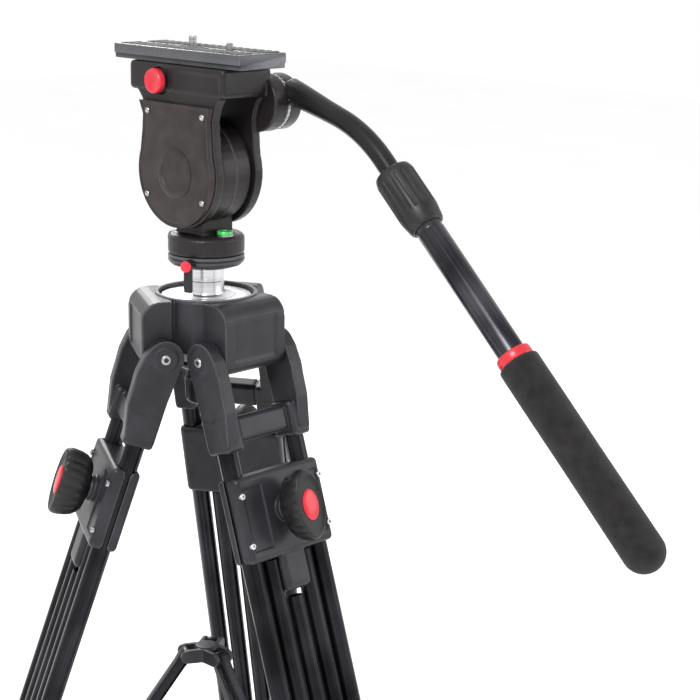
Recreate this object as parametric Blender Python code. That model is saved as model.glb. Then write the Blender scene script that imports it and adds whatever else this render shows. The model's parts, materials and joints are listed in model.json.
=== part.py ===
"""Video tripod: three twin-tube legs, a bowl with a levelling half ball, and a fluid pan and tilt head.

The tripod's upright axis is x = y = 0. +Y is the lens side, -Y the operator's side, +Z is up.
Everything hangs from one empty, which moves the whole tripod so that the centre of its box
stands on the origin.
"""

import math

import bmesh
import bpy
from mathutils import Matrix, Vector

MM = 0.001
GAP = 0.3 * MM  # between faces that touch
RUN = 0.4 * MM  # radial clearance of a sliding tube

# Legs. A leg's own frame starts at its hinge: +X outwards, +Z up along the leg, Y across it.
LEGS = {"rear": -90.0, "front_right": 30.0, "front_left": 150.0}
SPREAD = 18.5  # degrees from upright, against the stop
LEG_LENGTH = 640 * MM  # hinge to sole, telescoped in
HINGE_RADIUS = 42 * MM
TUBE_SPACING = 18.4 * MM
OUTER_TUBE_R = 8 * MM
MIDDLE_TUBE_R = 7.5 * MM
CENTRE_TUBE_R = 7.5 * MM
LEG_HALF_WIDTH = 46 * MM
PIN_R = 4 * MM
COLLAR_TOP, COLLAR_BOTTOM, COLLAR_SKIRT = -95 * MM, -165 * MM, -195 * MM
UPPER_KNOB_Z, LOWER_KNOB_Z = -128 * MM, -571 * MM
CROSSBAR_TOP, CROSSBAR_BOTTOM = -519 * MM, -545 * MM
BLOCK_TOP, BLOCK_BOTTOM = -552 * MM, -590 * MM
SPREADER_PIVOT = (-26 * MM, -532 * MM)  # across from the leg's middle, and down it
HUB_PIVOT_RADIUS = 18 * MM
ARM_SLOPE = 55.0  # degrees below level at rest

# Bowl and ball
HINGE_Z = LEG_LENGTH * math.cos(math.radians(SPREAD))
BOWL_TOP = 44 * MM  # above the hinges
BALL_CENTRE = 40 * MM
BALL_R = 37.5 * MM
SEAT_R = 38.6 * MM
LUG_HALF_WIDTH = 32.3 * MM

# Head, measured from the underside of its base
HEAD_Z = HINGE_Z + 66 * MM
DECK_BOTTOM, DECK_TOP = 11 * MM, 27 * MM
BASE_R = 31 * MM
TILT = (5 * MM, 77 * MM)  # the tilt axis: ahead of the pan axis, and up
DRUM_R = 41.5 * MM
DRUM_HALF_WIDTH = 16.4 * MM
DISC_R = 45 * MM
ARM_INNER, ARM_OUTER = 17 * MM, 25 * MM
PLATFORM = (-48 * MM, 64 * MM, 139 * MM, 162 * MM)  # back, front, underside, top
PLATE = (-65 * MM, 84 * MM)  # back and front
PLATE_TOP = 174 * MM

# Pan bar, in the upright plane x = BAR_X
BAR_X = 43.6 * MM
ROSETTE = (-36 * MM, 133 * MM)
ROSETTE_R = 23 * MM
BAR_CORNER = (-132 * MM, 118 * MM)  # where the bar's two straights would meet
BAR_FIRST_SLOPE, BAR_LAST_SLOPE = 17.0, 44.0
BAR_BEND_R = 120 * MM
ROD_R = 8 * MM
ROD_END = 150 * MM  # along the bar from the end of its bend, as are the next three
BAR_COLLAR = (11 * MM, 64 * MM)
BAR_TUBE_R = 10.7 * MM
BAR_TUBE = (18 * MM, 362 * MM)
GRIP = (189 * MM, 368 * MM)
GRIP_R = 16 * MM

# Locks and buttons
PAN_LOCK_AZIMUTH = 205.0
PAN_LOCK_Z = 6 * MM
TILT_LOCK = (33 * MM, 18 * MM)
DIAL_START = 29.8 * MM
BUTTON = (27 * MM, 148 * MM)
PLATE_LOCK = (30 * MM, 150 * MM)
ROSETTE_END, EYE_END = 35 * MM, 52 * MM
UPPER_KNOB_START, LOWER_KNOB_START = 18 * MM, 17 * MM


def clear_scene():
    for thing in list(bpy.data.objects):
        bpy.data.objects.remove(thing, do_unlink=True)


def material(name, colour, roughness, metallic=0.0):
    made = bpy.data.materials.new(name)
    made.use_nodes = True
    shader = made.node_tree.nodes["Principled BSDF"]
    shader.inputs["Base Color"].default_value = (*colour, 1.0)
    shader.inputs["Roughness"].default_value = roughness
    shader.inputs["Metallic"].default_value = metallic
    return made


def empty(name, parent=None, at=(0, 0, 0), turn=None):
    made = bpy.data.objects.new(name, None)
    bpy.context.scene.collection.objects.link(made)
    made.parent = parent
    made.matrix_basis = Matrix.Translation(at) @ (turn if turn else Matrix())
    return made


def node(name, mesh_maker, finish, parent, at=(0, 0, 0)):
    """A sub-part: mesh_maker fills a bmesh in the parent's frame; at becomes the object's origin."""
    bm = bmesh.new()
    mesh_maker(bm)
    bmesh.ops.translate(bm, verts=bm.verts, vec=-Vector(at))
    mesh = bpy.data.meshes.new(name)
    bm.to_mesh(mesh)
    bm.free()
    mesh.materials.append(MATERIALS[finish])
    made = bpy.data.objects.new(name, mesh)
    bpy.context.scene.collection.objects.link(made)
    made.parent = parent
    made.location = at
    return made


def finish_smooth(thing):
    thing.data.shade_smooth()
    thing.data.set_sharp_from_angle(angle=math.radians(35))


def box(bm, x, y, z, bevel=0.0, segments=1):
    """A block between the two values of each axis, all its edges rounded by bevel."""
    centre = Vector(((x[0] + x[1]) / 2, (y[0] + y[1]) / 2, (z[0] + z[1]) / 2))
    size = Vector((abs(x[1] - x[0]), abs(y[1] - y[0]), abs(z[1] - z[0])))
    made = bmesh.ops.create_cube(bm, size=1.0, matrix=Matrix.Translation(centre) @ Matrix.Diagonal((*size, 1)))
    if bevel:
        edges = list({edge for vert in made["verts"] for edge in vert.link_edges})
        bmesh.ops.bevel(bm, geom=edges, offset=bevel, segments=segments, affect="EDGES", profile=0.5)


def turned(bm, profile, segments=24, matrix=None):
    """A solid of revolution about Z. profile holds (radius, z) points up one closed section."""
    rings = []
    for radius, z in profile:
        if radius < 1e-9:
            rings.append([bm.verts.new((0, 0, z))])
            continue
        angles = [2 * math.pi * step / segments for step in range(segments)]
        rings.append([bm.verts.new((radius * math.cos(a), radius * math.sin(a), z)) for a in angles])
    closed = profile[0][0] > 1e-9 or profile[-1][0] > 1e-9
    pairs = list(zip(rings, rings[1:]))
    if closed:
        pairs.append((rings[-1], rings[0]))
    faces = []
    for low, high in pairs:
        for step in range(segments):
            following = (step + 1) % segments
            corners = [low[step % len(low)], low[following % len(low)],
                       high[following % len(high)], high[step % len(high)]]
            corners = [v for i, v in enumerate(corners) if v not in corners[:i]]
            if len(corners) > 2:
                faces.append(bm.faces.new(corners))
    bmesh.ops.recalc_face_normals(bm, faces=faces)
    if matrix:
        verts = [vert for ring in rings for vert in ring]
        bmesh.ops.transform(bm, matrix=matrix, verts=verts)


def rod(bm, radius, start, end, segments=16, chamfer=0.0):
    """A round bar between two points."""
    start, end = Vector(start), Vector(end)
    length = (end - start).length
    turn = (end - start).to_track_quat("Z", "Y").to_matrix().to_4x4()
    profile = [(0, 0), (radius - chamfer, 0), (radius, chamfer), (radius, length - chamfer),
               (radius - chamfer, length), (0, length)]
    if not chamfer:
        profile = [(0, 0), (radius, 0), (radius, length), (0, length)]
    turned(bm, profile, segments, Matrix.Translation(start) @ turn)


def slab(bm, outline, across, along="X"):
    """An outline of (y, z) points given a thickness along X, or of (x, z) points along Y."""
    def place(point, depth):
        if along == "X":
            return (depth, point[0], point[1])
        return (point[0], depth, point[1])

    low = [bm.verts.new(place(p, across[0])) for p in outline]
    high = [bm.verts.new(place(p, across[1])) for p in outline]
    faces = [bm.faces.new(low), bm.faces.new(list(reversed(high)))]
    for i in range(len(outline)):
        j = (i + 1) % len(outline)
        faces.append(bm.faces.new((low[i], high[i], high[j], low[j])))
    bmesh.ops.recalc_face_normals(bm, faces=faces)


def arc(centre, radius, start, end, steps):
    """Points round a centre, from one angle to another, in degrees."""
    angles = [math.radians(start + (end - start) * i / steps) for i in range(steps + 1)]
    return [(centre[0] + radius * math.cos(a), centre[1] + radius * math.sin(a)) for a in angles]


def boolean(target, tool_maker, operation):
    """Join a shape to an object, or cut it out, and drop the tool."""
    bm = bmesh.new()
    tool_maker(bm)
    mesh = bpy.data.meshes.new("tool")
    bmesh.ops.translate(bm, verts=bm.verts, vec=-target.location)
    bm.to_mesh(mesh)
    bm.free()
    tool = bpy.data.objects.new("tool", mesh)
    tool.hide_render = True
    tool.display_type = "WIRE"
    bpy.context.scene.collection.objects.link(tool)
    tool.parent = target.parent
    tool.location = target.location
    modifier = target.modifiers.new(operation, "BOOLEAN")
    modifier.operation = operation
    modifier.object = tool
    bpy.context.view_layer.update()
    evaluated = target.evaluated_get(bpy.context.evaluated_depsgraph_get())
    shaped = bpy.data.meshes.new_from_object(evaluated)
    target.modifiers.clear()
    target.data = shaped
    bpy.data.objects.remove(tool, do_unlink=True)


def add(target, tool_maker):
    boolean(target, tool_maker, "UNION")


def cut(target, tool_maker):
    boolean(target, tool_maker, "DIFFERENCE")


# ---------------------------------------------------------------- legs

def cheek_outline():
    """The clevis's side plates: round over the hinge, full on the outside, narrow at the tube sockets."""
    return [(12.5 * MM, -70 * MM), (18 * MM, -44 * MM), (19 * MM, -16 * MM), (17 * MM, -2 * MM)] + arc(
        (0, 0), 15 * MM, 22, 200, 12) + [(-12.5 * MM, -34 * MM), (-12.5 * MM, -70 * MM)]


def leg_clevis(name, leg):
    inner, outer = LUG_HALF_WIDTH + 0.9 * MM, LEG_HALF_WIDTH - 0.5 * MM
    made = node(name, lambda bm: slab(bm, cheek_outline(), (inner, outer), "Y"), "casting", leg)
    add(made, lambda bm: slab(bm, cheek_outline(), (-outer, -inner), "Y"))
    for side in (-1, 1):
        socket = sorted((side * 27.4 * MM, side * LEG_HALF_WIDTH))
        add(made, lambda bm: box(bm, (-12.5 * MM, 12.5 * MM), socket, (-75 * MM, -46 * MM), 2 * MM))
    add(made, lambda bm: box(bm, (-8 * MM, 8 * MM), (-28 * MM, 28 * MM), (-69 * MM, -48 * MM), 3 * MM))
    for tube in (-2 * TUBE_SPACING, 2 * TUBE_SPACING):
        cut(made, lambda bm: rod(bm, OUTER_TUBE_R + GAP, (0, tube, -80 * MM), (0, tube, -51.7 * MM)))
    reach = LEG_HALF_WIDTH + 5 * MM
    cut(made, lambda bm: rod(bm, PIN_R + GAP, (0, -reach, 0), (0, reach, 0), 12))
    return made


def leg_tubes(name, leg):
    for side, word in ((-1, "right"), (1, "left")):
        at = side * 2 * TUBE_SPACING
        node(f"{name}_outer_tube_{word}",
             lambda bm: rod(bm, OUTER_TUBE_R, (0, at, -535 * MM), (0, at, -52 * MM)), "tube", leg)


def leg_crossbar(name, leg):
    """The foot of the outer tubes. It guides the middle tubes and carries the spreader's ears."""
    width = LEG_HALF_WIDTH
    made = node(name, lambda bm: box(bm, (-12.5 * MM, 12.5 * MM), (-width, width),
                                     (CROSSBAR_BOTTOM, CROSSBAR_TOP), 3 * MM), "casting", leg)
    for side in (-1, 1):
        across = sorted((side * 7 * MM, side * 11 * MM))
        outline = [(-10 * MM, SPREADER_PIVOT[1] - 8 * MM)]
        outline += arc(SPREADER_PIVOT, 6 * MM, 250, 110, 6)
        outline += [(-10 * MM, SPREADER_PIVOT[1] + 8 * MM)]
        add(made, lambda bm: slab(bm, outline, across, "Y"))
        outer, middle = side * 2 * TUBE_SPACING, side * TUBE_SPACING
        cut(made, lambda bm: rod(bm, OUTER_TUBE_R + GAP, (0, outer, -535.4 * MM), (0, outer, -510 * MM)))
        cut(made, lambda bm: rod(bm, MIDDLE_TUBE_R + RUN, (0, middle, -550 * MM), (0, middle, -510 * MM)))
    cut(made, lambda bm: rod(bm, CENTRE_TUBE_R + RUN, (0, 0, -550 * MM), (0, 0, -510 * MM)))
    return made


def middle_frame(name, leg):
    """The clamping collar round the outer tubes, with the two middle tubes fixed in it."""
    width = LEG_HALF_WIDTH
    made = node(name, lambda bm: box(bm, (-11 * MM, 13 * MM), (-width, width),
                                     (COLLAR_BOTTOM, COLLAR_TOP), 2.5 * MM, 2), "casting", leg)
    add(made, lambda bm: box(bm, (-9 * MM, 11.5 * MM), (-14 * MM, 14 * MM),
                             (COLLAR_SKIRT, COLLAR_BOTTOM + 6 * MM), 3 * MM))
    add(made, lambda bm: rod(bm, 11 * MM, (10 * MM, 0, UPPER_KNOB_Z), (17.7 * MM, 0, UPPER_KNOB_Z)))
    for side in (-1, 1):
        middle, outer = side * TUBE_SPACING, side * 2 * TUBE_SPACING
        add(made, lambda bm: rod(bm, MIDDLE_TUBE_R, (0, middle, -563.5 * MM), (0, middle, COLLAR_BOTTOM - 8 * MM)))
        cut(made, lambda bm: rod(bm, OUTER_TUBE_R + RUN, (0, outer, COLLAR_SKIRT), (0, outer, COLLAR_TOP + 10 * MM)))
    return made


def lower_block(name, leg):
    """The foot of the middle tubes, which clamps the centre tube."""
    made = node(name, lambda bm: box(bm, (-13 * MM, 13 * MM), (-29 * MM, 29 * MM),
                                     (BLOCK_BOTTOM, BLOCK_TOP), 3 * MM, 2), "casting", leg)
    add(made, lambda bm: rod(bm, 9 * MM, (10 * MM, 0, LOWER_KNOB_Z), (16.7 * MM, 0, LOWER_KNOB_Z)))
    for side in (-1, 1):
        middle = side * TUBE_SPACING
        cut(made, lambda bm: rod(bm, MIDDLE_TUBE_R + GAP, (0, middle, -564 * MM), (0, middle, -545 * MM)))
    cut(made, lambda bm: rod(bm, CENTRE_TUBE_R + RUN, (0, 0, -600 * MM), (0, 0, -545 * MM)))
    return made


def lock_knob(name, leg, z, start, depth, half_width, half_height):
    """A tapered oblong clamping knob with its screw across the leg, and a cap on its face."""
    def shape(bm):
        rings = ((start, 0.62), (start + 6 * MM, 0.92), (start + 0.8 * depth, 1.0), (start + depth, 0.84),
                 (start + depth, 0.5), (start + depth + 1.5 * MM, 0.42))
        loops = []
        for x, grow in rings:
            points = []
            for step in range(16):
                angle = 2 * math.pi * step / 16
                y = half_width * grow * math.copysign(abs(math.cos(angle)) ** 0.8, math.cos(angle))
                rise = half_height * grow * math.copysign(abs(math.sin(angle)) ** 0.8, math.sin(angle))
                points.append(bm.verts.new((x, y, z + rise)))
            loops.append(points)
        for low, high in zip(loops, loops[1:]):
            for i in range(16):
                bm.faces.new((low[i], low[(i + 1) % 16], high[(i + 1) % 16], high[i]))
        bm.faces.new(loops[0])
        bm.faces.new(list(reversed(loops[-1])))
        bmesh.ops.recalc_face_normals(bm, faces=bm.faces)

    return node(name, shape, "rubber", leg, (start, 0, z))


def foot(name, leg):
    """A rubber foot whose sole lies flat when the leg is spread."""
    made = node(name, lambda bm: turned(bm, [
        (0, -660 * MM), (19 * MM, -660 * MM), (19 * MM, -634 * MM), (15 * MM, -626 * MM),
        (11.5 * MM, -612 * MM), (11 * MM, -600 * MM), (0, -600 * MM)], 20), "rubber", leg)
    cut(made, lambda bm: rod(bm, CENTRE_TUBE_R + GAP, (0, 0, -612.4 * MM), (0, 0, -590 * MM)))

    def ground(bm):
        box(bm, (-60 * MM, 60 * MM), (-60 * MM, 60 * MM), (-60 * MM, 0))
        tilt = Matrix.Rotation(math.radians(SPREAD), 4, "Y")
        bmesh.ops.transform(bm, matrix=Matrix.Translation((0, 0, -LEG_LENGTH)) @ tilt, verts=bm.verts)

    cut(made, ground)
    return made


def leg(name, azimuth, root):
    out = Matrix.Rotation(math.radians(azimuth), 4, "Z")
    hinge = out @ Vector((HINGE_RADIUS, 0, HINGE_Z))
    frame = empty(f"{name}_leg_frame", root, hinge, out @ Matrix.Rotation(math.radians(-SPREAD), 4, "Y"))
    reach = LEG_HALF_WIDTH + 1.5 * MM
    node(f"{name}_hinge_pin", lambda bm: rod(bm, PIN_R, (0, -reach, 0), (0, reach, 0), 12, 0.8 * MM),
         "steel", frame)
    leg_clevis(f"{name}_clevis", frame)
    leg_tubes(name, frame)
    leg_crossbar(f"{name}_crossbar", frame)
    middle_frame(f"{name}_middle_frame", frame)
    lower_block(f"{name}_lower_block", frame)
    lock_knob(f"{name}_upper_lock_knob", frame, UPPER_KNOB_Z, UPPER_KNOB_START, 28 * MM, 16 * MM, 29 * MM)
    lock_knob(f"{name}_lower_lock_knob", frame, LOWER_KNOB_Z, LOWER_KNOB_START, 21 * MM, 12 * MM, 19 * MM)
    node(f"{name}_centre_tube", lambda bm: rod(bm, CENTRE_TUBE_R, (0, 0, -612 * MM), (0, 0, COLLAR_SKIRT - 5 * MM)),
         "tube", frame)
    foot(f"{name}_foot", frame)


# ---------------------------------------------------------------- bowl, ball and spreader

def lug_outline():
    """A leg's lug on the bowl, seen from its side: flat on top, round at its outer corners."""
    top, bottom, tip = BOWL_TOP, -13 * MM, HINGE_RADIUS + 17 * MM
    return ([(34 * MM, bottom)] + arc((tip - 12 * MM, bottom + 12 * MM), 12 * MM, -90, 0, 4)
            + arc((tip - 15 * MM, top - 15 * MM), 15 * MM, 0, 90, 5) + [(34 * MM, top)])


def bowl_casting(root):
    bowl = empty("bowl_frame", root, (0, 0, HINGE_Z))
    made = node("bowl_casting", lambda bm: turned(bm, [
        (0, -9 * MM), (30 * MM, -9 * MM), (42 * MM, 1 * MM), (42 * MM, BOWL_TOP - 1 * MM),
        (41 * MM, BOWL_TOP), (0, BOWL_TOP)], 32), "casting", bowl)
    for azimuth in LEGS.values():
        turn = Matrix.Rotation(math.radians(azimuth), 4, "Z")

        def lug(bm):
            slab(bm, lug_outline(), (-LUG_HALF_WIDTH, LUG_HALF_WIDTH), "Y")
            bmesh.ops.transform(bm, matrix=turn, verts=bm.verts)

        def pin_bore(bm):
            reach = LUG_HALF_WIDTH + 2 * MM
            rod(bm, PIN_R + GAP, (HINGE_RADIUS, -reach, 0), (HINGE_RADIUS, reach, 0), 12)
            bmesh.ops.transform(bm, matrix=turn, verts=bm.verts)

        add(made, lug)
        cut(made, pin_bore)
    seat = [(r, BALL_CENTRE + z) for r, z in arc((0, 0), SEAT_R, -56, 0, 7)]
    cut(made, lambda bm: turned(bm, [(0, -20 * MM), (seat[0][0], -20 * MM)] + seat
                                + [(SEAT_R, BOWL_TOP + 5 * MM), (0, BOWL_TOP + 5 * MM)], 32))
    return made


def levelling_ball(root):
    """The half ball with its neck and tie rod, the cup washer under the bowl, and the clamping knob."""
    ball = empty("ball_frame", root, (0, 0, HINGE_Z + BALL_CENTRE))
    neck_top = HEAD_Z - HINGE_Z - BALL_CENTRE - GAP
    lower = arc((0, 0), BALL_R, -56, 0, 7)
    node("half_ball", lambda bm: turned(bm, [(0, -84 * MM), (5 * MM, -84 * MM), (5 * MM, lower[0][1])] + lower
         + [(BALL_R - 0.5 * MM, 2 * MM), (15.5 * MM, 3 * MM), (14.5 * MM, 6 * MM), (14.5 * MM, neck_top),
            (0, neck_top)], 32), "bright_metal", ball)
    node("cup_washer", lambda bm: turned(bm, [
        (11 * MM, -58 * MM), (22 * MM, -58 * MM), (25 * MM, -55 * MM), (25 * MM, -53 * MM), (11 * MM, -53 * MM)],
        24), "casting", ball)
    node("ball_clamp_knob", lambda bm: turned(bm, [
        (5.4 * MM, -88 * MM), (15 * MM, -88 * MM), (17 * MM, -85 * MM), (18 * MM, -68 * MM), (16 * MM, -64 * MM),
        (10 * MM, -63 * MM), (9 * MM, -59.6 * MM), (5.4 * MM, -59.6 * MM)], 24), "rubber", ball)


def spreader(root):
    """The mid-level spreader: a hub on the tripod's axis and an arm to each leg's crossbar."""
    lean = math.radians(SPREAD)
    across, along = SPREADER_PIVOT
    pivot_radius = HINGE_RADIUS + across * math.cos(lean) - along * math.sin(lean)
    pivot_z = HINGE_Z + across * math.sin(lean) + along * math.cos(lean)
    run = pivot_radius - HUB_PIVOT_RADIUS
    length = run / math.cos(math.radians(ARM_SLOPE))
    hub_z = pivot_z + run * math.tan(math.radians(ARM_SLOPE))
    hub = empty("hub_frame", root, (0, 0, hub_z))
    made = node("spreader_hub", lambda bm: turned(bm, [
        (0, -7 * MM), (9 * MM, -7 * MM), (10.5 * MM, -5 * MM), (10.5 * MM, 5 * MM), (9 * MM, 7 * MM), (0, 7 * MM)],
        24), "casting", hub)
    for azimuth in LEGS.values():
        turn = Matrix.Rotation(math.radians(azimuth), 4, "Z")
        for side in (-1, 1):
            def ear(bm):
                outline = [(4 * MM, -6 * MM), (HUB_PIVOT_RADIUS, -6 * MM)]
                outline += arc((HUB_PIVOT_RADIUS, 0), 6 * MM, -60, 60, 4)
                outline += [(HUB_PIVOT_RADIUS, 6 * MM), (4 * MM, 6 * MM)]
                slab(bm, outline, sorted((side * 5.6 * MM, side * 9 * MM)), "Y")
                bmesh.ops.transform(bm, matrix=turn, verts=bm.verts)
            add(made, ear)
        cut(made, lambda bm: (box(bm, (11 * MM, 30 * MM), (-5.6 * MM, 5.6 * MM), (-9 * MM, 9 * MM)),
                              bmesh.ops.transform(bm, matrix=turn, verts=bm.verts)))
    for name, azimuth in LEGS.items():
        turn = Matrix.Rotation(math.radians(azimuth), 4, "Z")
        down = Matrix.Rotation(math.radians(ARM_SLOPE), 4, "Y")
        frame = empty(f"{name}_arm_frame", hub, turn @ Vector((HUB_PIVOT_RADIUS, 0, 0)), turn @ down)
        outline = (arc((0, 0), 5.5 * MM, 90, 270, 6) + [(12 * MM, -3.5 * MM), (length - 12 * MM, -3.5 * MM)]
                   + arc((length, 0), 5.5 * MM, -90, 90, 6) + [(length - 12 * MM, 3.5 * MM), (12 * MM, 3.5 * MM)])
        node(f"{name}_spreader_arm", lambda bm: slab(bm, outline, (-5 * MM, 5 * MM), "Y"), "tube", frame)


# ---------------------------------------------------------------- fluid head

def pan_base(head):
    node("pan_base", lambda bm: turned(bm, [
        (0, 0), (22 * MM, 0), (29 * MM, 2.5 * MM), (BASE_R, 5 * MM), (BASE_R, 9.5 * MM), (30 * MM, 10.6 * MM),
        (0, 10.6 * MM)], 32),
        "casting", head)
    turn = Matrix.Rotation(math.radians(PAN_LOCK_AZIMUTH), 4, "Z")
    lever = empty("pan_lock_frame", head, (0, 0, PAN_LOCK_Z), turn)
    made = node("pan_lock_lever", lambda bm: rod(bm, 4.6 * MM, (BASE_R + GAP, 0, 0), (42 * MM, 0, 0), 16, 1 * MM),
                "painted", lever, (BASE_R, 0, 0))
    add(made, lambda bm: box(bm, (34 * MM, 39 * MM), (-3.5 * MM, 3.5 * MM), (-22 * MM, 0), 1.2 * MM))


def head_body(head):
    """The fluid housing: a round deck, a pedestal and the tilt drum."""
    made = node("head_body", lambda bm: turned(bm, [
        (0, DECK_BOTTOM), (30 * MM, DECK_BOTTOM), (31 * MM, 12.5 * MM), (31 * MM, 24.5 * MM), (28.5 * MM, DECK_TOP),
        (0, DECK_TOP)], 32), "painted", head)
    half = DRUM_HALF_WIDTH
    add(made, lambda bm: box(bm, (-half, half), (-13.5 * MM, 18 * MM), (20 * MM, 55 * MM)))
    add(made, lambda bm: rod(bm, DRUM_R, (-half, *TILT), (half, *TILT), 40, 1.5 * MM))
    lock_y, lock_z = TILT_LOCK
    add(made, lambda bm: rod(bm, 5.5 * MM, (0, 20 * MM, lock_z), (0, lock_y, lock_z), 12))
    node("level_vial", lambda bm: turned(bm, [
        (0, 0), (7 * MM, 0), (7 * MM, 2.2 * MM), (5.5 * MM, 3.6 * MM), (0, 4.2 * MM)], 20,
        Matrix.Translation((0, -22 * MM, DECK_TOP + GAP))), "green", head)
    lever = node("tilt_lock_lever", lambda bm: rod(bm, 5.5 * MM, (0, lock_y + GAP, lock_z),
                                                   (0, lock_y + 9 * MM, lock_z), 16, 1 * MM), "painted", head,
                 (0, lock_y, lock_z))
    add(lever, lambda bm: box(bm, (0, 30 * MM), (lock_y + 3 * MM, lock_y + 8 * MM),
                              (lock_z - 3.2 * MM, lock_z + 3.2 * MM), 1.5 * MM))


def arm_outline(inset=0.0, flare=True):
    """The tilt frame's side: a disc about the tilt axis, a waist and, with flare, the widening into the platform."""
    outline = arc(TILT, DISC_R - inset, 160, 380, 26)
    outline += [(45 * MM - inset, 108 * MM), (44 * MM - inset, 121 * MM), (49 * MM - inset, 132 * MM)]
    if flare:
        outline += [(58 * MM, 143 * MM), (-46 * MM, 143 * MM)]
    return outline + [(-38 * MM + inset, 132 * MM), (-35 * MM + inset, 121 * MM), (-36 * MM + inset, 108 * MM)]


def tilt_frame(head):
    """The cradle that tilts: the platform, its two side arms and the rosette boss of the pan bar."""
    back, front, underside, top = PLATFORM
    made = node("tilt_frame", lambda bm: box(bm, (-26 * MM, 26 * MM), (back, front), (underside, top), 3 * MM, 2),
                "painted", head, (0, *TILT))
    add(made, lambda bm: slab(bm, arm_outline(), (-ARM_OUTER, -ARM_INNER)))
    add(made, lambda bm: slab(bm, arm_outline(), (ARM_INNER, ARM_OUTER)))
    y, z = ROSETTE
    add(made, lambda bm: rod(bm, ROSETTE_R, (20 * MM, y, z), (ROSETTE_END, y, z), 28, 1 * MM))
    by, bz = BUTTON
    cut(made, lambda bm: rod(bm, 10.7 * MM, (-30 * MM, by, bz), (-21 * MM, by, bz), 24))
    node("plate_release_button", lambda bm: rod(bm, 10.3 * MM, (-34 * MM, by, bz), (-24.6 * MM, by, bz), 24,
                                                1.2 * MM), "red", head, (-26 * MM, by, bz))
    node("side_cover_left", lambda bm: slab(bm, arm_outline(1.2 * MM, flare=False), (-30 * MM, -ARM_OUTER - GAP)),
         "cover", head, (0, *TILT))
    node("side_cover_right", lambda bm: rod(bm, 38 * MM, (ARM_OUTER + GAP, *TILT), (29.5 * MM, *TILT), 36,
                                            1 * MM), "cover", head, (0, *TILT))
    node("tilt_drag_dial", lambda bm: rod(bm, 21 * MM, (DIAL_START, *TILT), (40 * MM, *TILT), 28, 1.5 * MM),
         "rubber", head, (0, *TILT))
    py, pz = PLATE_LOCK
    lever = node("plate_lock_lever", lambda bm: rod(bm, 7.5 * MM, (26 * MM + GAP, py, pz), (36 * MM, py, pz), 20,
                                                    1 * MM), "painted", head, (26 * MM, py, pz))

    def handle(bm):
        box(bm, (31 * MM, 36 * MM), (0, 34 * MM), (-4 * MM, 4 * MM), 1.5 * MM)
        turn = Matrix.Rotation(math.radians(-20), 4, "X")
        bmesh.ops.transform(bm, matrix=Matrix.Translation((0, py, pz)) @ turn, verts=bm.verts)

    add(lever, handle)


def camera_plate(head):
    low = PLATFORM[3] + GAP
    made = node("camera_plate", lambda bm: box(bm, (-25 * MM, 25 * MM), PLATE, (low, PLATE_TOP),
                                               1 * MM), "plate", head, (0, 0, low))
    cut(made, lambda bm: box(bm, (-3.7 * MM, 3.7 * MM), (-2 * MM, 34 * MM), (low - 5 * MM, PLATE_TOP + 5 * MM)))
    cut(made, lambda bm: box(bm, (-8.5 * MM, 8.5 * MM), (-7 * MM, 39 * MM), (low - 5 * MM, low + 5 * MM)))
    cut(made, lambda bm: rod(bm, 3 * MM, (0, -27 * MM, low + 4 * MM), (0, -27 * MM, PLATE_TOP + 5 * MM), 12))
    node("camera_screw", lambda bm: turned(bm, [
        (0, low + 0.8 * MM), (7.5 * MM, low + 0.8 * MM), (7.5 * MM, low + 4.2 * MM), (3.175 * MM, low + 4.2 * MM),
        (3.175 * MM, PLATE_TOP + 8 * MM), (2.6 * MM, PLATE_TOP + 9 * MM), (0, PLATE_TOP + 9 * MM)], 20,
        Matrix.Translation((0, 16 * MM, 0))), "steel", head, (0, 16 * MM, low))
    node("alignment_pin", lambda bm: rod(bm, 2.7 * MM, (0, -27 * MM, low + 4.3 * MM),
                                         (0, -27 * MM, PLATE_TOP + 6 * MM), 12, 0.6 * MM), "steel", head)


def bar_path():
    """The bend's start and end in the bar's plane, its centre, and the direction of the last straight."""
    first, last = math.radians(BAR_FIRST_SLOPE), math.radians(BAR_LAST_SLOPE)
    tangent = BAR_BEND_R * math.tan((last - first) / 2)
    start = Vector(BAR_CORNER) + tangent * Vector((math.cos(first), math.sin(first)))
    centre = start + BAR_BEND_R * Vector((math.sin(first), -math.cos(first)))
    end = centre + BAR_BEND_R * Vector((-math.sin(last), math.cos(last)))
    return start, centre, end, Vector((-math.cos(last), -math.sin(last)))


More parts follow.
